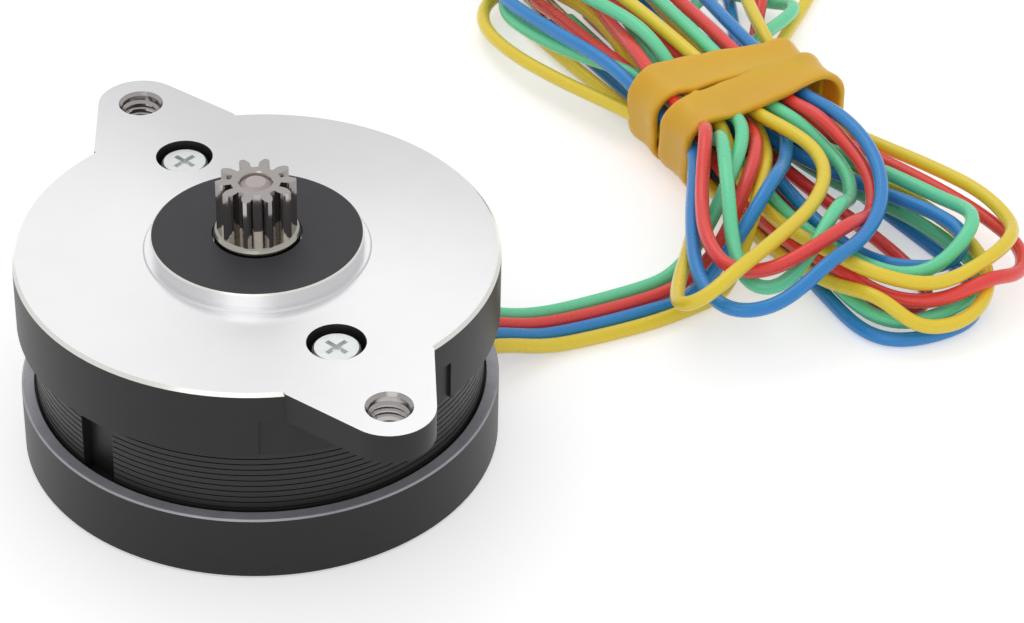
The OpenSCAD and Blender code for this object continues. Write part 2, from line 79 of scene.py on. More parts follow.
def add_mesh(name: str, points: Sequence[Sequence[float]], faces: Sequence[Sequence[int]],
             smooth: bool = True) -> bpy.types.Object:
    """Make a mesh object from points in millimetres.

    Args:
        name: The name of the object and of its mesh.
        points: The corner points, in millimetres.
        faces: The faces, as rows of point numbers.
        smooth: Whether the faces are shaded smooth.

    Returns:
        The new object, linked to the scene.
    """
    mesh = bpy.data.meshes.new(name)
    mesh.from_pydata([metres(point) for point in points], [], [list(face) for face in faces])
    mesh.polygons.foreach_set("use_smooth", [smooth] * len(mesh.polygons))
    mesh.update()
    piece = bpy.data.objects.new(name, mesh)
    bpy.context.scene.collection.objects.link(piece)
    return piece


def grid_faces(rows: int, columns: int, closed_rows: bool, closed_columns: bool) -> list[list[int]]:
    """Return the four-sided faces of a grid of points.

    Args:
        rows: The number of rows of points.
        columns: The number of points in a row.
        closed_rows: Whether the last row joins the first.
        closed_columns: Whether the last point of a row joins the first.

    Returns:
        The faces, as rows of point numbers.
    """
    faces = []
    for row in range(rows if closed_rows else rows - 1):
        for column in range(columns if closed_columns else columns - 1):
            after, below = (column + 1) % columns, (row + 1) % rows
            faces.append([row * columns + column, row * columns + after,
                          below * columns + after, below * columns + column])
    return faces


class Graph:
    """A material's node tree, with short calls for the nodes that the finishes use."""

    def __init__(self, name: str) -> None:
        """Make an empty material.

        Args:
            name: The material's name.
        """
        self.material = bpy.data.materials.new(name)
        self.material.use_nodes = True
        self.tree = self.material.node_tree
        self.tree.nodes.clear()
        self.output = self.tree.nodes.new("ShaderNodeOutputMaterial")

    def node(self, kind: str, **settings: object) -> bpy.types.Node:
        """Add a node and set its own properties.

        Args:
            kind: The node's type.
            **settings: Its properties, by name.

        Returns:
            The new node.
        """
        node = self.tree.nodes.new(kind)
        for key, value in settings.items():
            setattr(node, key, value)
        return node

    def link(self, source: bpy.types.NodeSocket, target: bpy.types.NodeSocket) -> None:
        """Join two sockets."""
        self.tree.links.new(source, target)

    def place(self) -> bpy.types.NodeSocket:
        """Read the place on the object.

        Returns:
            A socket with the place in the object's own axes, in millimetres.
        """
        coordinates = self.node("ShaderNodeTexCoord")
        scaled = self.node("ShaderNodeVectorMath", operation="SCALE")
        scaled.inputs["Scale"].default_value = 1 / MM
        self.link(coordinates.outputs["Object"], scaled.inputs[0])
        return scaled.outputs[0]

    def radius(self) -> bpy.types.NodeSocket:
        """Measure the distance from the shaft axis.

        Returns:
            A socket with the distance, in millimetres.
        """
        flat = self.node("ShaderNodeVectorMath", operation="MULTIPLY")
        flat.inputs[1].default_value = (1, 1, 0)
        length = self.node("ShaderNodeVectorMath", operation="LENGTH")
        self.link(self.place(), flat.inputs[0])
        self.link(flat.outputs[0], length.inputs[0])
        return length.outputs["Value"]

    def noise(self, source: bpy.types.NodeSocket, scale: float, detail: float = 3,
              dimensions: str = "3D") -> bpy.types.NodeSocket:
        """Add a noise texture.

        Args:
            source: The place that it is read at, or a single value where it is 1D.
            scale: Its scale, per millimetre.
            detail: The number of finer layers.
            dimensions: "3D" or "1D".

        Returns:
            A socket with a value from 0 to 1.
        """
        node = self.node("ShaderNodeTexNoise", noise_dimensions=dimensions)
        node.inputs["Scale"].default_value = scale
        node.inputs["Detail"].default_value = detail
        self.link(source, node.inputs["W" if dimensions == "1D" else "Vector"])
        return node.outputs[0]

    def spread(self, source: bpy.types.NodeSocket, low: float,
               high: float) -> bpy.types.NodeSocket:
        """Stretch a noise value to a given range.

        Args:
            source: The noise value.
            low: What the low end of its usual range becomes.
            high: What the high end becomes.

        Returns:
            A socket with the new value.
        """
        node = self.node("ShaderNodeMapRange")
        least, most = NOISE_RANGE
        for key, value in {"From Min": least, "From Max": most,
                           "To Min": low, "To Max": high}.items():
            node.inputs[key].default_value = value
        self.link(source, node.inputs["Value"])
        return node.outputs["Result"]

    def bump(self, height: bpy.types.NodeSocket, depth: float,
             below: bpy.types.NodeSocket | None = None) -> bpy.types.NodeSocket:
        """Bend the shading normal by a height.

        Args:
            height: The height, from 0 to 1.
            depth: What a height of 1 stands for, in millimetres.
            below: The normal that is bent, if it isn't the surface's own.

        Returns:
            A socket with the bent normal.
        """
        node = self.node("ShaderNodeBump")
        node.inputs["Strength"].default_value = 1
        node.inputs["Distance"].default_value = depth * MM
        self.link(height, node.inputs["Height"])
        if below is not None:
            self.link(below, node.inputs["Normal"])
        return node.outputs["Normal"]

    def blend(self, factor: bpy.types.NodeSocket, first: Colour,
              second: Colour) -> bpy.types.NodeSocket:
        """Mix two colours.

        Args:
            factor: 0 gives the first colour and 1 the second.
            first: The first colour, linear.
            second: The second colour, linear.

        Returns:
            A socket with the mixed colour.
        """
        node = self.node("ShaderNodeMix", data_type="RGBA")
        node.inputs["A"].default_value = (*first, 1)
        node.inputs["B"].default_value = (*second, 1)
        self.link(factor, node.inputs["Factor"])
        return node.outputs[2]


def shade(colour: Colour, factor: float) -> Colour:
    """Return a colour made lighter or darker by a factor."""
    return tuple(min(value * factor, 1) for value in colour)


@dataclass(frozen=True)
class Finish:
    """A surface finish with grain in its colour, roughness and relief.

    Attributes:
        name: The material's name.
        colour: The mean base colour, linear.
        metallic: 1 for bare metal.
        roughness: The mean roughness.
        rough_spread: How far the roughness wanders to each side.
        tint: How far the colour wanders, as a share.
        grain: The grain's scale, per millimetre.
        relief: The grain's depth, in millimetres.
        coat: The weight of the clear coat.
        specular: The specular level.
        subsurface: The weight of the light that passes into the piece.
        anisotropy: How far the gloss is drawn out across turned grooves.
        turned: The scale of turned grooves per millimetre of radius, 0 for none.
        patch: How many times wider than the grain the wander of the colour is.
        reach: How far light passes into the piece, in millimetres.
        reach_tint: The share of that reach for red, green and blue.
    """

    name: str
    colour: Colour
    metallic: float = 0.0
    roughness: float = 0.4
    rough_spread: float = 0.06
    tint: float = 0.08
    grain: float = 3.0
    relief: float = 0.004
    coat: float = 0.0
    specular: float = 0.5
    subsurface: float = 0.0
    anisotropy: float = 0.0
    turned: float = 0.0
    patch: float = 12
    reach: float = 2
    reach_tint: Colour = (1, 0.45, 0.12)

    def build(self) -> bpy.types.Material:
        """Make the material.

        Returns:
            The material with all its nodes.
        """
        graph = Graph(self.name)
        shader = graph.node("ShaderNodeBsdfPrincipled")
        graph.link(shader.outputs[0], graph.output.inputs["Surface"])
        fixed = {"Metallic": self.metallic, "Coat Weight": self.coat,
                 "Specular IOR Level": self.specular, "Subsurface Weight": self.subsurface,
                 "Anisotropic": self.anisotropy}
        for key, value in fixed.items():
            shader.inputs[key].default_value = value
        if self.subsurface:
            shader.inputs["Subsurface Radius"].default_value = self.reach_tint
            shader.inputs["Subsurface Scale"].default_value = self.reach * MM
        place = graph.place()
        fine = graph.noise(place, self.grain)
        broad = graph.noise(place, self.grain / self.patch, COARSE_DETAIL)
        normal = graph.bump(fine, self.relief)
        rough_from = fine
        if self.turned:
            groove = graph.noise(graph.radius(), self.turned, COARSE_DETAIL, "1D")
            normal = graph.bump(groove, self.relief, normal)
            rough_from = groove
        if self.anisotropy:
            tangent = graph.node("ShaderNodeTangent", direction_type="RADIAL", axis="Z")
            graph.link(tangent.outputs[0], shader.inputs["Tangent"])
        dark, light = (shade(self.colour, 1 + way * self.tint) for way in (-1, 1))
        graph.link(graph.blend(broad, dark, light), shader.inputs["Base Color"])
        rough = graph.spread(rough_from, self.roughness - self.rough_spread,
                             self.roughness + self.rough_spread)
        graph.link(rough, shader.inputs["Roughness"])
        graph.link(normal, shader.inputs["Normal"])
        return graph.material


class Surface(Enum):
    """The finishes of the motor's pieces.

    The numbers after a colour are metallic, roughness, rough_spread, tint, grain and
    relief, in that order.
    """

    TURNED_FACE = Finish("turned_aluminium_face", (0.84, 0.84, 0.85), 1, 0.34, 0.05, 0.02, 4,
                         0.0012, anisotropy=0.7, turned=9)
    BRIGHT_EDGE = Finish("bright_aluminium_edge", (1, 0.97, 0.92), 0.8, 0.22, 0.03, 0.02, 6, 0.0002)
    BLACK_COAT = Finish("black_satin_coat", (0.019, 0.0165, 0.018), 0, 0.42, 0.05, 0.12, 9, 0.004,
                        specular=0.32)
    BOSS_BLACK = Finish("black_boss_face", (0.047, 0.046, 0.052), 0, 0.5, 0.04, 0.08, 8, 0.002,
                        specular=0.3, turned=12)
    BOSS_SIDE = Finish("bare_boss_side", (0.95, 0.95, 0.97), 1, 0.16, 0.06, 0.05, 1.2, 0.006)
    RIM = Finish("machined_cover_rim", (0.42, 0.42, 0.46), 0.4, 0.36, 0.12, 0.2, 7, 0.008)
    LAMINATION = Finish("black_lamination_steel", (0.018, 0.017, 0.016), 0.2, 0.42, 0.08, 0.2, 5,
                        0.004)
    GEAR_STEEL = Finish("hobbed_gear_steel", (0.54, 0.51, 0.49), 1, 0.09, 0.03, 0.06, 5, 0.0006)
    COLLAR_STEEL = Finish("ground_collar_steel", (0.5, 0.48, 0.43), 1, 0.18, 0.05, 0.06, 5, 0.0006)
    SHAFT_STEEL = Finish("ground_shaft_steel", (0.46, 0.41, 0.4), 1, 0.34, 0.08, 0.08, 6, 0.001)
    THREAD_STEEL = Finish("cut_thread_metal", (0.46, 0.44, 0.43), 1, 0.16, 0.06, 0.1, 10, 0.001)
    SCREW_ZINC = Finish("zinc_screw_head", (0.8, 0.83, 0.82), 0.85, 0.38, 0.1, 0.12, 4, 0.012)
    BEARING_STEEL = Finish("bearing_steel", (0.62, 0.63, 0.65), 1, 0.2, 0.05, 0.03, 8, 0.001)
    CAGE_BRASS = Finish("brass_cage", (0.75, 0.55, 0.25), 1, 0.3, 0.05, 0.05, 8, 0.002)
    MAGNET = Finish("magnet_grey", (0.3, 0.3, 0.32), 1, 0.45, 0.1, 0.1, 6, 0.004)
    COPPER = Finish("enamelled_copper", (0.6, 0.24, 0.08), 1, 0.32, 0.08, 0.12, 6, 0.02)
    BOBBIN = Finish("bobbin_plastic", (0.8, 0.78, 0.7), 0, 0.5, 0.06, 0.05, 4, 0.006)
    OUTLET = Finish("outlet_plastic", (0.78, 0.76, 0.7), 0, 0.45, 0.06, 0.05, 4, 0.006)
    TINNED = Finish("tinned_strands", (0.75, 0.75, 0.74), 1, 0.3, 0.1, 0.08, 9, 0.03)
    RUBBER = Finish("amber_rubber", (1, 0.48, 0.03), 0, 0.4, 0.1, 0.16, 1.2, 0.03,
                    specular=0.45, subsurface=0.35)
    GREEN = Finish("green_lead_jacket", (0.17, 0.82, 0.44), 0, 0.3, 0.05, 0.05, 2.5, 0.0002,
                   coat=0.25)
    RED = Finish("red_lead_jacket", (1, 0.07, 0.06), 0, 0.3, 0.05, 0.06, 2.5, 0.0002, coat=0.25)
    BLUE = Finish("blue_lead_jacket", (0.025, 0.28, 0.72), 0, 0.3, 0.05, 0.06, 2.5, 0.0002,
                  coat=0.25)
    YELLOW = Finish("yellow_lead_jacket", (1, 0.74, 0.045), 0, 0.3, 0.05, 0.04, 2.5, 0.0002,
                    coat=0.25)


class Paints:
    """The materials made so far, one for each finish."""

    def __init__(self) -> None:
        """Start with no material made."""
        self.made: dict[Surface, bpy.types.Material] = {}

    def of(self, surface: Surface) -> bpy.types.Material:
        """Find the material of a finish, which is made when it is first asked for.

        Args:
            surface: The finish.

        Returns:
            Its material.
        """
        if surface not in self.made:
            self.made[surface] = surface.value.build()
        return self.made[surface]

    def dress(self, piece: bpy.types.Object, surface: Surface) -> None:
        """Give a new piece one material."""
        piece.data.materials.clear()
        piece.data.materials.append(self.of(surface))

    def dress_node(self, node: str, surface: Surface) -> bpy.types.Object:
        """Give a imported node's object a better material in each of its slots.

        Args:
            node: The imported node.
            surface: The finish.

        Returns:
            The node's object.
        """
        piece = bpy.data.objects[node]
        for slot in piece.material_slots:
            slot.link = "OBJECT"
            slot.material = self.of(surface)
        return piece


@dataclass
class Camera:
    """The camera at the photograph's viewing angle.

    Attributes:
        azimuth: Degrees round the object, 0 looks along +Y.
        elevation: Degrees above the floor.
        roll: Degrees that the picture is turned.
        distance: Distance from the target, in millimetres.
        target: The point looked at, in millimetres.
        focal: Focal length in picture widths.
        sensor: The sensor's width, in millimetres.
        clip: The nearest and the farthest distance that is drawn, in metres.
    """

    azimuth: float = 60.865
    elevation: float = 36.312
    roll: float = 1.381
    distance: float = 264.97
    target: Point = (5.186, 19.003, 8.0)
    focal: float = 3.3433
    sensor: float = 36
    clip: tuple[float, float] = (0.01, 20)

    def build(self) -> None:
        """Make the camera and set it as the scene's camera."""
        turn, rise = math.radians(self.azimuth), math.radians(self.elevation)
        back = Vector((math.sin(turn) * math.cos(rise), -math.cos(turn) * math.cos(rise),
                       math.sin(rise)))
        right = Vector((math.cos(turn), math.sin(turn), 0))
        up = back.cross(right)
        roll = math.radians(self.roll)
        right, up = (math.cos(roll) * right + math.sin(roll) * up,
                     -math.sin(roll) * right + math.cos(roll) * up)
        lens = bpy.data.cameras.new("camera")
        lens.sensor_width = self.sensor
        lens.lens = self.focal * self.sensor
        lens.clip_start, lens.clip_end = self.clip
        camera = bpy.data.objects.new("camera", lens)
        turned = Matrix((right, up, back)).transposed().to_4x4()
        place = metres(self.target) + back * self.distance * MM
        camera.matrix_world = Matrix.Translation(place) @ turned
        bpy.context.scene.collection.objects.link(camera)
        bpy.context.scene.camera = camera


@dataclass(frozen=True)
class Lamp:
    """A soft square lamp aimed at the motor.

    Attributes:
        name: The lamp's name.
        place: Where it stands, in millimetres.
        size: The side of its square, in millimetres.
        power: Its power, in watts.
    """

    name: str
    place: Point
    size: float
    power: float

    def build(self, aim: Point) -> None:
        """Make the lamp.

        Args:
            aim: The point that it faces, in millimetres.
        """
        data = bpy.data.lights.new(self.name, "AREA")
        data.shape = "SQUARE"
        data.size = self.size * MM
        data.energy = self.power
        lamp = bpy.data.objects.new(self.name, data)
        lamp.location = metres(self.place)
        lamp.rotation_euler = (metres(aim) - metres(self.place)).to_track_quat("-Z", "Y").to_euler()
        bpy.context.scene.collection.objects.link(lamp)


@dataclass
class Studio:
    """The pale floor, the world and the lamps.

    Attributes:
        floor_half: Half the side of the floor, in millimetres.
        floor_colour: The floor's colour, linear.
        floor_lift: What the floor adds where the camera or a gloss sees it.
        world_light: The strength of the world as a light.
        world_seen: Its strength where the camera sees it.
        aim: The point that the lamps face, in millimetres.
        lamps: The lamps.
    """

    floor_half: float = 1500
    floor_colour: Colour = (0.86, 0.86, 0.87)
    floor_lift: float = 0.42
    world_light: float = 0.86
    world_seen: float = 1
    aim: Point = (0, 15, 5)
    lamps: tuple[Lamp, ...] = (
        Lamp("key_lamp", (-260, 60, 420), 300, 0.28),
        Lamp("fill_lamp", (280, -240, 300), 320, 0.2),
    )

    def build(self) -> None:
        """Make the floor, the world and the lamps."""
        half = self.floor_half
        corners = [(-half, -half, 0), (half, -half, 0), (half, half, 0), (-half, half, 0)]
        floor = add_mesh("floor", corners, [range(len(corners))], smooth=False)
        floor.data.materials.append(self.floor_paint())
        self.build_world()
        for lamp in self.lamps:
            lamp.build(self.aim)

    def floor_paint(self) -> bpy.types.Material:
        """Make the floor's material, lifted where the camera, gloss or glass sees it.

        Returns:
            The material.
        """
        graph = Graph("pale_floor")
        shader = graph.node("ShaderNodeBsdfDiffuse")
        shader.inputs["Color"].default_value = (*self.floor_colour, 1)
        glow = graph.node("ShaderNodeEmission")
        glow.inputs["Color"].default_value = (1, 1, 1, 1)
        path = graph.node("ShaderNodeLightPath")
        seen = graph.node("ShaderNodeMath", operation="MAXIMUM")
        also = graph.node("ShaderNodeMath", operation="MAXIMUM")
        lift = graph.node("ShaderNodeMath", operation="MULTIPLY")
        lift.inputs[1].default_value = self.floor_lift
        both = graph.node("ShaderNodeAddShader")
        for source, target in (
                (path.outputs["Is Camera Ray"], seen.inputs[0]),
                (path.outputs["Is Glossy Ray"], seen.inputs[1]),
                (seen.outputs[0], also.inputs[0]),
                (path.outputs["Is Transmission Ray"], also.inputs[1]),
                (also.outputs[0], lift.inputs[0]),
                (lift.outputs[0], glow.inputs["Strength"]),
                (shader.outputs[0], both.inputs[0]),
                (glow.outputs[0], both.inputs[1]),
                (both.outputs[0], graph.output.inputs["Surface"])):
            graph.link(source, target)
        return graph.material

    def build_world(self) -> None:
        """Make the plain world light, paler where it is seen directly."""
        world = bpy.data.worlds.new("studio")
        world.use_nodes = True
        tree = world.node_tree
        tree.nodes.clear()
        output = tree.nodes.new("ShaderNodeOutputWorld")
        light = tree.nodes.new("ShaderNodeBackground")
        path = tree.nodes.new("ShaderNodeLightPath")
        level = tree.nodes.new("ShaderNodeMapRange")
        level.inputs["To Min"].default_value = self.world_light
        level.inputs["To Max"].default_value = self.world_seen
        tree.links.new(path.outputs["Is Camera Ray"], level.inputs["Value"])
        tree.links.new(level.outputs["Result"], light.inputs["Strength"])
        tree.links.new(light.outputs[0], output.inputs["Surface"])
        bpy.context.scene.world = world


class Side(Enum):
    """The two sides of the band that the loops lie on."""

    NEAR = 1
    FAR = -1


@dataclass(frozen=True)
class Loop:
    """One loop of a lead beside the band.

    Attributes:
        tip: The loop's outermost point, in millimetres.
        heading: The direction from the band to the tip, in degrees.
        side: 1 or -1, the side to which the lead passes the tip.
        handles: Handle lengths at the tip for the first and second leg, then at the band.
        order: How far up the pile the first leg, the tip and the second leg lie.
    """

    tip: Point
    heading: float
    side: int
    handles: tuple[float, float, float, float]
    order: tuple[float, float, float]


@dataclass(frozen=True)
class LeadPlan:
    """The route of one lead: free stretch, three folds through the band, and its end.

    Attributes:
        colour: The colour, as it stands in the names of the lead's node and piece.
        surface: The finish of the insulation.
        slots: The row and column in the band of each straight leg, as the lead runs.
        free: The free stretch in millimetres, with y counted from the outlet.
        free_order: How far up the pile the free stretch lies.
        loops: The loops, by turns on the far and the near side of the band.
        end_y: Where the lead ends, in millimetres.
    """

    colour: str
    surface: Surface
    slots: tuple[tuple[int, int], ...]
    free: tuple[Point, ...]
    free_order: float
    loops: tuple[Loop, ...]
    end_y: float


LEADS = (
    LeadPlan(
        "yellow", Surface.YELLOW, ((2, 4), (3, 3), (1, 0), (3, 1), (1, 7), (0, 7), (0, 0)),
        ((2.4, 0, 3.05), (2.4, 2, 3.05), (2.4, 3.5, 2.7), (2.4, 5, 2.2), (2.3, 8, 1),
         (2.4, 11, 0.65), (2.8, 15, 0.65), (2.9, 18.5, 0.65), (2.9, 21, 0.9), (1.8, 24.8, 2.2),
         (-1.3, 29.2, 3.7), (-6, 33.2, 4.8), (-11.5, 36.4, 4.8)), 2.1,
        (Loop((-50, 52, 3.3), 184, 1, (6, 6, 12, 12), (2.2, 2.2, 2.2)),
         Loop((8, 37.4, 4.9), 22, -1, (23.6, 16, 5.6, 6.5), (5, 5, 2.6)),
         Loop((-47, 47, 1.5), 192, -1, (12.5, 8, 4, 10), (1.5, 1.1, 0.81)),
         Loop((13, 58, 3.3), 12, 1, (16, 14, 3, 5), (1.5, 1.6, 1.5)),
         Loop((-41, 74, 0.65), 138, -1, (7.5, 7.5, 10, 10), (1.3, 0.7, 0.3)),
         Loop((15.5, 55.5, 0.65), 12, -1, (8, 8, 12, 22), (0.3, 0.3, 0.3))), 46),
    LeadPlan(
        "red", Surface.RED, ((2, 3), (3, 5), (3, 0), (1, 1), (1, 6), (0, 4), (0, 3)),
        ((-0.8, 0, 3.05), (-0.8, 2, 3.05), (-0.8, 3.5, 2.7), (-0.8, 5, 2.2), (-0.8, 8, 1),
         (-0.6, 11, 0.65), (-0.2, 15, 0.65), (-0.1, 18.5, 0.65), (-0.2, 21.5, 0.8), (-1.5, 26, 1.9),
         (-4, 30, 3.8), (-8, 33.5, 4.9), (-12.5, 35.6, 4.8)), 2.2,
        (Loop((-54, 54, 2), 180, -1, (6, 6, 12, 12), (2.1, 2.1, 2.1)),
         Loop((7, 45.3, 4.6), 11, -1, (17, 17, 2.5, 2.5), (4, 4, 3.8)),
         Loop((-50.4, 51.8, 1.5), 195, 1, (6, 6, 10.8, 8.6), (1.7, 1.3, 0.83)),
         Loop((14.2, 58, 2), 0, 1, (14, 14, 8, 3), (1, 1.1, 1.1)),
         Loop((-41, 67, 1.2), 155, 1, (7.5, 7.5, 10, 10), (1.1, 0.5, 0.1)),
         Loop((11.2, 53.4, 0.65), 0, -1, (5.5, 5.5, 8, 12), (0.2, 0.2, 0.2))), 52),
    LeadPlan(
        "green", Surface.GREEN, ((2, 2), (3, 4), (2, 1), (1, 2), (1, 5), (0, 5), (0, 2)),
        ((-2.4, 0, 3.05), (-2.4, 2, 3.05), (-2.4, 3.5, 2.7), (-2.4, 5, 2.2), (-2.3, 8, 1),
         (-2, 11, 0.65), (-1.7, 15, 0.65), (-1.6, 18.5, 0.65), (-1.7, 21.5, 0.8), (-3.3, 25.5, 2),
         (-5.4, 29.4, 3.8), (-8.8, 32.6, 4.9), (-12.5, 34.2, 4.8)), 2.3,
        (Loop((-52, 49, 4.5), 186, -1, (6, 6, 12, 12), (2.3, 2.3, 2.3)),
         Loop((6.6, 45.1, 3.6), 29, -1, (20, 15, 3, 2.5), (3.9, 3, 3)),
         Loop((-46.6, 50.2, 1.5), 182, -1, (13.3, 9.7, 7.2, 10), (1.6, 1.2, 0.82)),
         Loop((11, 55, 2), 0, 1, (9.5, 12.5, 2.5, 5), (1.3, 1.2, 1.2)),
         Loop((-35.3, 66.3, 1.2), 144, 1, (11, 9.6, 11, 10.4), (1.2, 0.6, 0.2)),
         Loop((13.5, 54.5, 0.65), 0, -1, (12, 10.5, 10, 16), (0.1, 0.1, 0.1))), 50),
    LeadPlan(
        "blue", Surface.BLUE, ((2, 5), (3, 6), (2, 0), (1, 3), (1, 4), (0, 6), (0, 1)),
        ((0.8, 0, 3.05), (0.8, 2, 3.05), (0.8, 3.5, 2.7), (0.8, 5, 2.2), (0.8, 8, 1),
         (0.9, 11, 0.65), (1.3, 15, 0.65), (1.4, 18.5, 0.65), (1.6, 21.5, 0.8), (0.8, 26.2, 2.2),
         (-2, 31.2, 4.2), (-6.2, 35.3, 5), (-11.5, 38.4, 4.8)), 2.4,
        (Loop((-56, 60, 0.65), 176, -1, (6, 6, 12, 12), (2, 2, 2)),
         Loop((9, 46, 3.4), 19, -1, (16, 24, 2.5, 2.5), (4.2, 3.2, 3.7)),
         Loop((-49.5, 48.5, 1.5), 185, -1, (9, 8, 9.5, 10), (1.8, 1.4, 0.84)),
         Loop((8.4, 54, 2), -35, 1, (6.5, 15, 3, 3), (1.1, 1, 1)),
         Loop((-44, 64, 1.2), 163, -1, (7.5, 7.5, 10, 10), (1, 0.4, 0)),
         Loop((14.7, 53.2, 0.65), -5, -1, (11.5, 8.5, 10, 24), (0, 0, 0))), 48),
)


@dataclass
class Route:
    """The points of all the leads before they are laid on each other.

    Attributes:
        points: The points, in millimetres.
        order: How far up the pile each point lies.
        lead: The number of the lead that each point belongs to.
        held: Whether the height of each point is fixed.
    """

    points: list[np.ndarray] = field(default_factory=list)
    order: list[float] = field(default_factory=list)
    lead: list[int] = field(default_factory=list)
    held: list[bool] = field(default_factory=list)

    def add(self, points: Iterable[np.ndarray], orders: Iterable[float], lead: int,
            held: Callable[[int, int], bool]) -> None:
        """Append points of one lead.

        Args:
            points: The points, in millimetres.
            orders: How far up the pile each point lies.
            lead: The lead's number.
            held: Tells from a point's number and the count whether its height is fixed.
        """
        rows = list(points)
        for number, (point, order) in enumerate(zip(rows, orders)):
            self.points.append(np.array(point, float))
            self.order.append(order)
            self.lead.append(lead)
            self.held.append(held(number, len(rows)))


def at_an_end(number: int, count: int) -> bool:
    """Return whether a point is the first or the last of its row."""
    return number in (0, count - 1)


def bezier(start: np.ndarray, leave: np.ndarray, arrive: np.ndarray, end: np.ndarray,
           steps: Sequence[float]) -> np.ndarray:
    """Find points of a cubic curve.

    Args:
        start: Where the curve starts.
        leave: The handle of its start.
        arrive: The handle of its end.
        end: Where it ends.
        steps: The places of the points, from 0 at the start to 1 at the end.

    Returns:
        The points, one in each row.
    """
    share = np.array(steps)[:, None]
    rest = 1 - share
    return (rest ** 3 * start + 3 * rest ** 2 * share * leave + 3 * rest * share ** 2 * arrive
            + share ** 3 * end)


@dataclass
class Hank:
    """Four leads folded into a hank and held by the band.

    The plan of each loop is a pair of curves. The heights come from laying the leads on
    each other: where two lie closer in plan than their middles may, the one that is higher
    up the pile is lifted and the other pressed down, over and over, until they clear.

    Attributes:
        near_x: Where the legs come out on the near side of the band.
        far_x: Where they come out on its far side.
        slot_y: The middle of each row of legs in the band.
        slot_steps_y: The distance between two legs, for each row from the floor up.
        middle_column: The column number that falls on that middle.
        slot_z: The height of the lowest row.
        slot_step_z: The height from one row to the next.
        outlet_y: Where the free stretches start, inside the outlet.
        outlet_face_y: The outer face of the outlet.
        end_x: Where the leads end.
        end_handle: The length of the handles of an end's curve.
        end_order: How far up the pile the ends lie.
        lead_d: The diameter of a lead.
        floor_z: The height of the middle of a lead on the floor.
        sag: How far the smoothing may bring a lead below that height.
        gap: The least distance between the middles of two leads.
        own_gap: The least distance between two stretches of one lead.
        own_skip: The first stretch further along a lead that has to clear.
        graze: How far inside the gap a pair has to lie in plan to count.
        tie: The difference in order below which the first heights decide.
        sweeps: How often the leads are pushed apart.
        clear: The lack of height that is left as it is.
        felt: The least push that counts as one of several on a point.
        crowding: How much of the number of pushes on a point divides their sum.
        stiffness: The share of a bend in height that a sweep takes out.
        bent_share: The share of the sweeps in which bends are taken out.
        steps: The places of the points on each half of a loop.
        end_steps: The places of the points on an end's curve.
        held_start: The number of points at the outlet whose height is fixed.
        smoothing: The number of steps that the smooth line has between two points.
        line_step: The distance between two points of the finished line.
        roundness: The fineness of a lead's round section.
    """

    near_x: float = -12.6
    far_x: float = -18.5
    slot_y: float = 53
    slot_steps_y: tuple[float, ...] = (1.75, 2, 2, 1.75)
    middle_column: float = 3.5
    slot_z: float = 1.45
    slot_step_z: float = 1.65
    outlet_y: float = 15.93
    outlet_face_y: float = 17.8
    end_x: float = -41
    end_handle: float = 6
    end_order: float = -1
    lead_d: float = 1.2
    floor_z: float = 0.65
    sag: float = 0.03
    gap: float = 1.45
    own_gap: float = 1.85
    own_skip: int = 4
    graze: float = 0.02
    tie: float = 1e-6
    sweeps: int = 200
    clear: float = 1e-3
    felt: float = 1e-4
    crowding: float = 0.7
    stiffness: float = 0.3
    bent_share: float = 0.75
    steps: tuple[float, ...] = (0, 0.2, 0.4, 0.58, 0.75, 0.89, 1)
    end_steps: tuple[float, ...] = (0, 0.35, 0.7, 1)
    held_start: int = 9
    smoothing: int = 6
    line_step: float = 0.5
    roundness: int = 4

    def leg_end(self, plan: LeadPlan, leg: int, x: float) -> np.ndarray:
        """Find where a lead passes one side of the band.

        Args:
            plan: The lead.
            leg: The number of its straight leg.
            x: The side of the band, in millimetres.

        Returns:
            The point, in millimetres.
        """
        row, column = plan.slots[leg]
        return np.array([x, self.slot_y + self.slot_steps_y[row] * (column - self.middle_column),
                         self.slot_z + self.slot_step_z * row])

    def loop_points(self, start: np.ndarray, end: np.ndarray, loop: Loop,
                    side: Side) -> np.ndarray:
        """Find the points of one loop, from the band to its tip and back.

        Args:
            start: Where the loop leaves the band.
            end: Where it comes back to the band.
            loop: The loop.
            side: The side of the band that it lies on.

        Returns:
            The points in millimetres, one in each row.
        """
        tip = np.array(loop.tip)
        turn = math.radians(loop.heading)
        along = np.array([-math.sin(turn), math.cos(turn), 0]) * loop.side
        out = np.array([side.value, 0, 0])
        first, second, leave, arrive = loop.handles
        there = bezier(start, start + out * leave, tip - along * first, tip, self.steps)
        back = bezier(end, end + out * arrive, tip + along * second, tip, self.steps)[::-1]
        return np.vstack([there, back[1:]])

    def lay_out(self) -> Route:
        """Lay out all the leads in plan.

        Returns:
            Their points, with the first heights.
        """
        route = Route()
        leg_points = len(self.steps) - 2
        for number, plan in enumerate(LEADS):
            free = [(x, self.outlet_y + y, z) for x, y, z in plan.free]
            route.add(free, [plan.free_order] * len(free), number,
                      lambda place, count: place < self.held_start)
            for index, loop in enumerate(plan.loops):
                side = Side.NEAR if index % 2 else Side.FAR
                x = self.near_x if side is Side.NEAR else self.far_x
                start, end = (self.leg_end(plan, index + leg, x) for leg in (0, 1))
                first, tip, second = loop.order
                # The point on each side of the tip lies as far up the pile as the tip.
                orders = [first] * leg_points + [tip] * 3 + [second] * leg_points
                route.add(self.loop_points(start, end, loop, side), orders, number, at_an_end)
            start = self.leg_end(plan, len(plan.loops), self.far_x)
            end = np.array([self.end_x, plan.end_y, self.floor_z])
            handle = np.array([self.end_handle, 0, 0])
            route.add(bezier(start, start - handle, end + handle, end, self.end_steps),
                      [self.end_order] * len(self.end_steps), number, at_an_end)
        return route

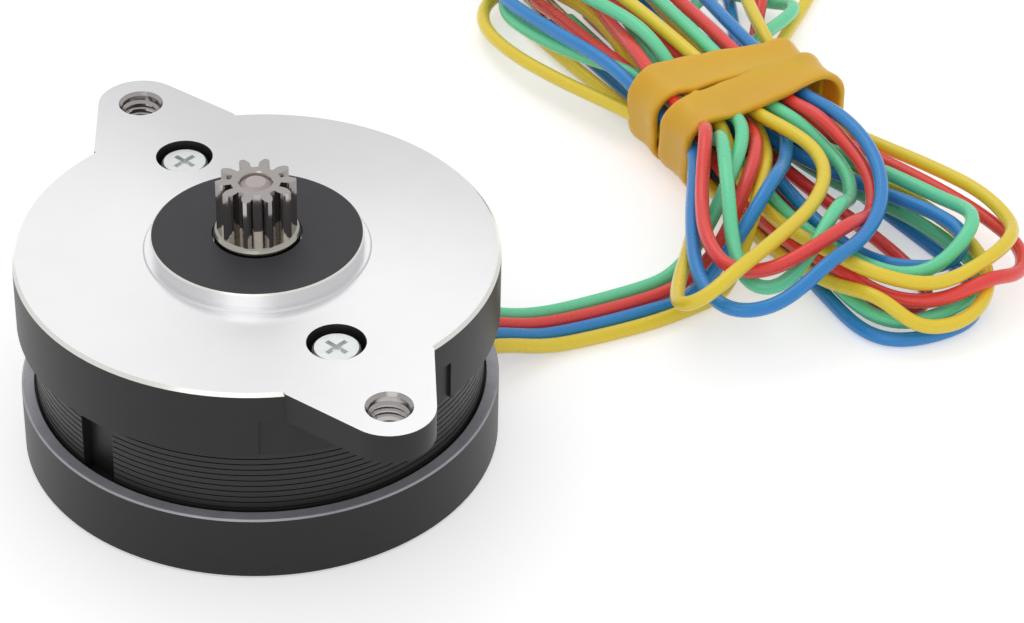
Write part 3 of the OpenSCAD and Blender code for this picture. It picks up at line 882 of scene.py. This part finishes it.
    def crossings(self, route: Route) -> list[tuple[int, int, float, float, float, int]]:
        """Find each two stretches that lie closer in plan than the leads may.

        Args:
            route: The points of all the leads.

        Returns:
            For each, the two stretches, the place along each, the height that they
            need between them, and 1 where the first lies above the second, else -1.
        """
        points, order = np.array(route.points), route.order
        found = []
        stretches = [i for i in range(len(points) - 1) if route.lead[i] == route.lead[i + 1]]
        flat = points[:, :2]
        for position, first in enumerate(stretches):
            for second in stretches[position + 1:]:
                same = route.lead[first] == route.lead[second]
                if same and second - first < self.own_skip:
                    continue
                gap = self.own_gap if same else self.gap
                reach = (np.abs(flat[first] + flat[first + 1] - flat[second] - flat[second + 1]) / 2
                         - np.abs(flat[first + 1] - flat[first]) / 2
                         - np.abs(flat[second + 1] - flat[second]) / 2)
                if reach.max() > gap:
                    continue
                a, b, distance = nearest(flat[first], flat[first + 1],
                                         flat[second], flat[second + 1])
                if distance > gap - self.graze:
                    continue
                above = (order[first] * (1 - a) + order[first + 1] * a
                         - order[second] * (1 - b) - order[second + 1] * b)
                if abs(above) < self.tie:
                    above = (points[first, 2] * (1 - a) + points[first + 1, 2] * a
                             - points[second, 2] * (1 - b) - points[second + 1, 2] * b)
                found.append((first, second, a, b, math.sqrt(gap * gap - distance * distance),
                              1 if above >= 0 else -1))
        return found

    def settle(self, route: Route) -> np.ndarray:
        """Push the leads apart in height until they clear each other.

        Args:
            route: The points of all the leads.

        Returns:
            All the points at their new heights, one in each row.
        """
        points = np.array(route.points)
        table = np.array(self.crossings(route))
        first, second = table[:, 0].astype(int), table[:, 1].astype(int)
        a, b, need, sign = table[:, 2], table[:, 3], table[:, 4], table[:, 5]
        weight = (1 - a) ** 2 + a ** 2 + (1 - b) ** 2 + b ** 2
        start = points[:, 2].copy()
        height = start.copy()
        free = 1 - np.array(route.held, float)
        shares = ((first, 1 - a), (first + 1, a), (second, b - 1), (second + 1, -b))
        for sweep in range(self.sweeps):
            lack = need - sign * (height[first] * (1 - a) + height[first + 1] * a
                                  - height[second] * (1 - b) - height[second + 1] * b)
            push = np.where(lack > self.clear, lack / weight * sign, 0)
            move, count = np.zeros(len(height)), np.zeros(len(height))
            for index, share in shares:
                np.add.at(move, index, push * share)
                np.add.at(count, index, np.abs(push * share) > self.felt)
            step = move / np.maximum(1, self.crowding * count)
            if sweep < self.bent_share * self.sweeps:
                lifted = height - start
                bend = (lifted[2:] + lifted[:-2]) / 2 - lifted[1:-1]
                step[1:-1] += self.stiffness * bend
            height = np.maximum(height + free * step, self.floor_z)
        points[:, 2] = height
        LOG.info("%d crossings, greatest lack %.2f mm, top of the hank %.1f mm",
                 len(table), lack.max(), height.max() + self.lead_d / 2)
        return points

    def build(self, paints: Paints) -> list[bpy.types.Object]:
        """Args:
            paints: The materials.

        Returns:
            The leads.
        """
        route = self.lay_out()
        points = self.settle(route)
        owner = np.array(route.lead)
        pieces = []
        for number, plan in enumerate(LEADS):
            line = even_line(smooth_line(points[owner == number], self.smoothing), self.line_step)
            line[:, 2] = np.maximum(line[:, 2], self.floor_z - self.sag)
            piece = self.tube(f"{plan.colour}_lead", line)
            paints.dress(piece, plan.surface)
            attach(piece, FIXED_BODY)
            nodes = [f"lead_{plan.colour}"] + (["lead_hank"] if number == 0 else [])
            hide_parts(*nodes)
            pieces.append(piece)
        return pieces

    def tube(self, name: str, line: np.ndarray) -> bpy.types.Object:
        """Make a curve with a round section along a line.

        Args:
            name: The name of the object and of its curve.
            line: The points in millimetres, one in each row.

        Returns:
            The new object, linked to the scene.
        """
        curve = bpy.data.curves.new(name, "CURVE")
        curve.dimensions = "3D"
        curve.bevel_depth = self.lead_d / 2 * MM
        curve.bevel_resolution = self.roundness
        curve.use_fill_caps = True
        spline = curve.splines.new("POLY")
        spline.points.add(len(line) - 1)
        for knot, point in zip(spline.points, line):
            knot.co = (*metres(point), 1)
        spline.use_smooth = True
        piece = bpy.data.objects.new(name, curve)
        bpy.context.scene.collection.objects.link(piece)
        return piece


def nearest(a0: np.ndarray, a1: np.ndarray, b0: np.ndarray,
            b1: np.ndarray) -> tuple[float, float, float]:
    """Find where two stretches come closest.

    Args:
        a0: Where the first stretch starts.
        a1: Where it ends.
        b0: Where the second stretch starts.
        b1: Where it ends.

    Returns:
        The place along each, as a share of its length, and the distance there.
    """
    run_a, run_b, apart = a1 - a0, b1 - b0, a0 - b0
    aa, ab, bb = run_a @ run_a, run_a @ run_b, run_b @ run_b
    a_apart, b_apart = run_a @ apart, run_b @ apart
    spread = aa * bb - ab * ab
    a = min(max((ab * b_apart - bb * a_apart) / spread, 0), 1) if spread > PARALLEL else 0.5
    b = min(max((ab * a + b_apart) / bb, 0), 1)
    a = min(max((ab * b - a_apart) / aa, 0), 1)
    return a, b, float(np.linalg.norm(apart + run_a * a - run_b * b))


def smooth_line(points: np.ndarray, steps: int) -> np.ndarray:
    """Draw a smooth line through points.

    Args:
        points: The points, one in each row.
        steps: The number of steps from each point to the next.

    Returns:
        The points of the line, one in each row.
    """
    rows = np.vstack([2 * points[0] - points[1], points, 2 * points[-1] - points[-2]])
    pace = np.sqrt(np.linalg.norm(np.diff(rows, axis=0), axis=1))
    line = []
    for index in range(1, len(rows) - 2):
        before, start, end, after = rows[index - 1:index + 3]
        d0, d1, d2 = pace[index - 1:index + 2]
        leave = end - start + d1 * ((start - before) / d0 - (end - before) / (d0 + d1))
        arrive = end - start + d1 * ((after - end) / d2 - (after - start) / (d1 + d2))
        for share in np.arange(steps) / steps:
            line.append((1 + 2 * share) * (1 - share) ** 2 * start
                        + share * (1 - share) ** 2 * leave
                        + share ** 2 * (3 - 2 * share) * end
                        - share ** 2 * (1 - share) * arrive)
    line.append(rows[-2])
    return np.array(line)


def even_line(line: np.ndarray, step: float, rounds: int = 12) -> np.ndarray:
    """Draw a line again with points at even steps, its sharpest bends eased.

    Args:
        line: The points, in millimetres.
        step: The distance between two points of the new line.
        rounds: How often each point is drawn towards the middle of its neighbours.

    Returns:
        The new points; the two ends stay where they are.
    """
    run = np.concatenate([[0], np.cumsum(np.linalg.norm(np.diff(line, axis=0), axis=1))])
    places = np.linspace(0, run[-1], int(run[-1] / step))
    points = np.stack([np.interp(places, run, line[:, axis]) for axis in range(3)], 1)
    for _ in range(rounds):
        points[1:-1] = (points[:-2] + 2 * points[1:-1] + points[2:]) / 4
    return points


def add_waves(level: float, waves: Sequence[Wave], turn: float, wrap: int) -> float:
    """Add waves that run round the band to a level.

    Args:
        level: The level without waves.
        waves: The height of each, its count round the band and its shift for each wrap.
        turn: The place round the band, in radians.
        wrap: The number of the wrap.

    Returns:
        The level with the waves.
    """
    for height, count, shift in waves:
        level += height * math.sin(count * turn + shift * wrap)
    return level


@dataclass
class Band:
    """The rubber band, wound twice round the waist of the hank.

    Attributes:
        wraps: How often the band goes round.
        centre_x: The middle between the wraps.
        step_x: The distance from one wrap to the next.
        width: The width of the band.
        thickness: Its thickness.
        waist_y: The middle of the waist.
        waist_w: The width of the waist.
        waist_z0: The height of its underside.
        waist_h: Its height.
        corner: The radius of its corners.
        rings: The number of sections round the waist.
        lean: How far each wrap swings along the hank on its way round.
        lean_turn: How far round that swing starts, in radians.
        climb: How steeply one wrap climbs on the other where they overlap.
        swell: The waves in the width, as shares of it.
        ripple: The waves in the thickness, as shares of it.
        ripple_middle: How much of the ripple the middle of the band has.
        ripple_edge: How much more it has across the full width.
        section: The outline, across and out, as shares of the width and the thickness.
    """

    wraps: int = 2
    centre_x: float = -16.6
    step_x: float = 3.9
    width: float = 4.5
    thickness: float = 0.55
    waist_y: float = 53
    waist_w: float = 15.2
    waist_z0: float = 0.62
    waist_h: float = 6.4
    corner: float = 2
    rings: int = 144
    lean: float = 0.8
    lean_turn: float = 2.6
    climb: float = 2
    swell: tuple[Wave, ...] = ((0.06, 3, 2), (0.03, 7, 1))
    ripple: tuple[Wave, ...] = ((0.07, 5, 1), (0.05, 13, 2))
    ripple_middle: float = 0.4
    ripple_edge: float = 2
    section: tuple[tuple[float, float], ...] = (
        (-0.5, 0.25), (-0.46, 0.06), (-0.3, 0), (0, 0), (0.3, 0), (0.46, 0.06), (0.5, 0.25),
        (0.5, 0.9), (0.47, 1.12), (0.4, 1.16), (0.28, 1), (0.12, 0.84), (-0.12, 0.84),
        (-0.28, 1), (-0.4, 1.16), (-0.47, 1.12), (-0.5, 0.9))

    def around(self, share: float, out: float) -> tuple[float, float]:
        """Find a place round the waist.

        Args:
            share: The share of the way round, from the low-y end of the underside.
            out: The distance out from the waist.

        Returns:
            The y and z of the place.
        """
        r = self.corner
        flat_w, flat_h = self.waist_w - 2 * r, self.waist_h - 2 * r
        arc = math.pi / 2 * r
        run = share % 1 * (2 * (flat_w + flat_h) + 4 * arc)
        y0, z0 = self.waist_y - flat_w / 2, self.waist_z0 + r
        corners = ((y0 + flat_w, z0, -90), (y0 + flat_w, z0 + flat_h, 0),
                   (y0, z0 + flat_h, 90), (y0, z0, 180))
        sides = (flat_w, flat_h, flat_w, flat_h)
        for (y, z, angle), side, back in zip(corners, sides, ((1, 0), (0, 1), (-1, 0), (0, -1))):
            if run <= side:
                normal = math.radians(angle)
                away = side - run
                return (y - back[0] * away + (r + out) * math.cos(normal),
                        z - back[1] * away + (r + out) * math.sin(normal))
            run -= side
            if run <= arc:
                turned = math.radians(angle) + run / r
                return y + (r + out) * math.cos(turned), z + (r + out) * math.sin(turned)
            run -= arc
        return y0, self.waist_z0 - out

    def build(self, paints: Paints) -> list[bpy.types.Object]:
        """Build the band as one piece of two wraps.

        Args:
            paints: The materials.

        Returns:
            The band.
        """
        points, faces = [], []
        for wrap in range(self.wraps):
            base = len(points)
            for ring in range(self.rings):
                share = ring / self.rings
                turn = 2 * math.pi * share
                apart = self.step_x / 2 + self.lean * math.sin(turn + self.lean_turn)
                middle = self.centre_x + apart * (2 * wrap - 1)
                swell = add_waves(1, self.swell, turn, wrap)
                ripple = add_waves(0, self.ripple, turn, wrap)
                covered = min(max(self.climb * (1 - 2 * apart / self.width), 0), 1) * wrap
                for across, out in self.section:
                    uneven = 1 + ripple * (self.ripple_middle + self.ripple_edge * abs(across))
                    y, z = self.around(share, (out * uneven + covered) * self.thickness)
                    points.append((middle + across * self.width * swell, y, max(z, 0)))
            faces += [[base + i for i in face]
                      for face in grid_faces(self.rings, len(self.section), True, True)]
        piece = add_mesh("amber_band", points, faces)
        paints.dress(piece, Surface.RUBBER)
        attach(piece, FIXED_BODY)
        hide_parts("rubber_band")
        return [piece]


class FacedNode:
    """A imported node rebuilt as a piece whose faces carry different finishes."""

    def __init__(self, node: str, body: str, name: str, slot: str) -> None:
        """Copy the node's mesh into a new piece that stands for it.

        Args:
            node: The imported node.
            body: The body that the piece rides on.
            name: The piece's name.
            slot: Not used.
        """
        source = bpy.data.objects[node]
        self.piece = bpy.data.objects.new(name, source.data.copy())
        self.piece.matrix_world = source.matrix_world.copy()
        bpy.context.scene.collection.objects.link(self.piece)
        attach(self.piece, body)
        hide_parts(node)

    def dress(self, paints: Paints, surfaces: Sequence[Surface],
              choose: Callable[[Vector, Vector], Surface]) -> None:
        """Give each face its finish.

        Args:
            paints: The materials.
            surfaces: The finishes used, in the order of their slots.
            choose: Picks the finish from a face's centre in millimetres and its normal.
        """
        mesh = self.piece.data
        mesh.materials.clear()
        for surface in surfaces:
            mesh.materials.append(paints.of(surface))
        numbers = {surface: number for number, surface in enumerate(surfaces)}
        for polygon in mesh.polygons:
            polygon.material_index = numbers[choose(polygon.center / MM, polygon.normal)]


@dataclass
class Housing:
    """The front flange, the rear cover, the stator stack and the case screws.

    Attributes:
        face_z: The height of the turned face.
        boss_top: The height of the boss's end.
        foot_h: The height of the step at the boss's foot.
        boss_hole_r: The radius of the hole in the boss.
        hole_edge: The width of the coated edge of that hole.
        cover_h: The height of the rear cover.
        rim_in_r: The inner radius of the cover's rim.
        rim_drop: How far below the cover's edge the rim's finish reaches.
        ear_x: The distance of the ear holes from the axis.
        ear_hole_r: The radius of the ear holes.
        ear_edge: How far round an ear hole the bare metal reaches.
        screw_x: The distance of the case screws from the axis.
        cbore_r: The radius of their counterbores.
        cbore_edge: How far round a counterbore the bevels keep the coat.
        slack: The room that a test of a height or radius leaves.
        flat_up: How far up the normal of a flat face points at least.
        bevel_up: The same of a bevel.
        round_up: The same of the rounding between the boss's end and side.
        plain: The nodes that take one finish.
        windings: The number of the coils.
    """

    face_z: float = 17
    boss_top: float = 18.25
    foot_h: float = 0.12
    boss_hole_r: float = 3.4
    hole_edge: float = 1
    cover_h: float = 5.5
    rim_in_r: float = 17.3
    rim_drop: float = 0.2
    ear_x: float = EAR_X
    ear_hole_r: float = EAR_HOLE_R
    ear_edge: float = 0.3
    screw_x: float = 13.45
    cbore_r: float = 2.2
    cbore_edge: float = 1
    slack: float = 0.05
    flat_up: float = 0.9
    bevel_up: float = 0.3
    round_up: float = 0.2
    plain: tuple[tuple[str, Surface], ...] = (
        ("stator_core", Surface.LAMINATION), ("case_screws", Surface.SCREW_ZINC),
        ("lead_outlet", Surface.OUTLET), ("lead_tips", Surface.TINNED),
        ("bobbin_front", Surface.BOBBIN), ("bobbin_rear", Surface.BOBBIN))
    windings: int = 8

    def flange_finish(self, centre: Vector, normal: Vector) -> Surface:
        """Pick the finish of one face of the front flange.

        Args:
            centre: The face's centre, in millimetres.
            normal: Its normal.

        Returns:
            The finish.
        """
        radius = math.hypot(centre.x, centre.y)
        from_ear = math.hypot(abs(centre.x) - self.ear_x, centre.y)
        face_top = self.face_z + self.foot_h + self.slack
        if normal.z > self.flat_up and centre.z > self.boss_top - self.slack:
            return Surface.BOSS_BLACK
        if normal.z > self.bevel_up and self.face_z - self.slack < centre.z < face_top:
            return Surface.TURNED_FACE
        if centre.z > self.face_z + self.slack:
            if radius < self.boss_hole_r + self.hole_edge:
                return Surface.BLACK_COAT
            return Surface.BRIGHT_EDGE if normal.z > self.round_up else Surface.BOSS_SIDE
        if from_ear < self.ear_hole_r + self.ear_edge:
            return Surface.THREAD_STEEL
        bevelled = self.bevel_up < normal.z < self.flat_up
        if bevelled and radius > self.screw_x + self.cbore_r + self.cbore_edge:
            return Surface.BRIGHT_EDGE
        return Surface.BLACK_COAT

    def cover_finish(self, centre: Vector, normal: Vector) -> Surface:
        """Pick the finish of one face of the rear cover.

        Args:
            centre: The face's centre, in millimetres.
            normal: Its normal.

        Returns:
            The finish.
        """
        on_rim = math.hypot(centre.x, centre.y) > self.rim_in_r - self.slack
        if on_rim and centre.z > self.cover_h - self.rim_drop and normal.z > self.bevel_up:
            return Surface.RIM
        return Surface.BLACK_COAT

    def build(self, paints: Paints) -> list[bpy.types.Object]:
        """Dress the housing's nodes.

        Args:
            paints: The materials.

        Returns:
            The flange, the cover and the nodes that take one finish.
        """
        flange = FacedNode("front_flange", FIXED_BODY, "flange", "turned_face")
        flange.dress(paints, (Surface.BLACK_COAT, Surface.TURNED_FACE, Surface.BOSS_BLACK,
                              Surface.BOSS_SIDE, Surface.BRIGHT_EDGE, Surface.THREAD_STEEL),
                     self.flange_finish)
        cover = FacedNode("rear_cover", FIXED_BODY, "cover", "black_case")
        cover.dress(paints, (Surface.BLACK_COAT, Surface.RIM), self.cover_finish)
        coils = [(f"winding_{number + 1}", Surface.COPPER) for number in range(self.windings)]
        return [flange.piece, cover.piece] + [paints.dress_node(node, surface)
                                              for node, surface in [*self.plain, *coils]]


@dataclass
class EarThreads:
    """The screw threads cut in the two ears.

    Attributes:
        ear_x: The distance of the holes from the axis.
        hole_r: The radius of the holes.
        depth: The depth of the thread.
        pitch: The height of one turn.
        z0: Where the thread starts.
        z1: Where it ends.
        steps: The number of sections in one turn.
        fill: The share of the pitch that the ridge takes up.
        section: The ridge, outward and up, as shares of the depth and its width.
    """

    ear_x: float = EAR_X
    hole_r: float = EAR_HOLE_R
    depth: float = 0.24
    pitch: float = 0.5
    z0: float = 14.65
    z1: float = 16.72
    steps: int = 28
    fill: float = 0.9
    section: tuple[tuple[float, float], ...] = ((0.02, -0.5), (-1, -0.08), (-1, 0.08), (0.02, 0.5))

    def build(self, paints: Paints) -> list[bpy.types.Object]:
        """Build one thread in each ear.

        Args:
            paints: The materials.

        Returns:
            The two threads.
        """
        turns = (self.z1 - self.z0 - self.pitch) / self.pitch
        rings, corners = int(turns * self.steps) + 1, len(self.section)
        faces = grid_faces(rings, corners, False, True)
        faces += [list(range(corners))[::-1], [(rings - 1) * corners + i for i in range(corners)]]
        pieces = []
        for side, name in ((1, "right"), (-1, "left")):
            points = []
            for ring in range(rings):
                angle = 2 * math.pi * ring / self.steps
                middle = self.z0 + self.pitch / 2 + self.pitch * ring / self.steps
                for outward, up in self.section:
                    radius = self.hole_r + outward * self.depth
                    points.append((side * self.ear_x + radius * math.cos(angle),
                                   radius * math.sin(angle), middle + up * self.pitch * self.fill))
            piece = add_mesh(f"{name}_ear_thread", points, faces, smooth=False)
            paints.dress(piece, Surface.THREAD_STEEL)
            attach(piece, FIXED_BODY)
            pieces.append(piece)
        return pieces


@dataclass
class Works:
    """The rotor, the bearings and the pinion.

    Attributes:
        turning: The nodes that turn with the shaft, and the wave washer.
        bearing: The nodes of each bearing.
    """

    turning: tuple[tuple[str, Surface], ...] = (
        ("shaft", Surface.SHAFT_STEEL), ("pinion_gear", Surface.GEAR_STEEL),
        ("pinion_collar", Surface.COLLAR_STEEL), ("rotor_cup_front", Surface.MAGNET),
        ("rotor_cup_rear", Surface.MAGNET), ("rotor_magnet", Surface.MAGNET),
        ("rotor_spacer_front", Surface.CAGE_BRASS), ("rotor_spacer_rear", Surface.CAGE_BRASS),
        ("wave_washer", Surface.BEARING_STEEL))
    bearing: tuple[tuple[str, Surface], ...] = (
        ("outer", Surface.BEARING_STEEL), ("inner", Surface.BEARING_STEEL),
        ("balls", Surface.BEARING_STEEL), ("shields", Surface.BEARING_STEEL),
        ("cage", Surface.CAGE_BRASS))

    def build(self, paints: Paints) -> list[bpy.types.Object]:
        """Dress the nodes that turn and the bearings that carry them.

        Args:
            paints: The materials.

        Returns:
            The nodes' objects.
        """
        bearings = [(f"{end}_bearing_{part}", surface)
                    for end in ("front", "rear") for part, surface in self.bearing]
        return [paints.dress_node(node, surface) for node, surface in [*self.turning, *bearings]]


def main() -> None:
    """Build the scene in order and report each piece."""
    logging.basicConfig(level=logging.INFO, format="%(name)s: %(message)s")
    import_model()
    bpy.context.scene.view_settings.view_transform = "Standard"
    paints = Paints()
    Camera().build()
    pieces = Hank().build(paints)
    Studio().build()
    for part in (Housing(), EarThreads(), Works(), Band()):
        pieces += part.build(paints)
    for piece in pieces:
        LOG.info("%s: %s", piece.name, ", ".join(slot.material.name
                                                 for slot in piece.material_slots))


if __name__ == "__main__":
    main()
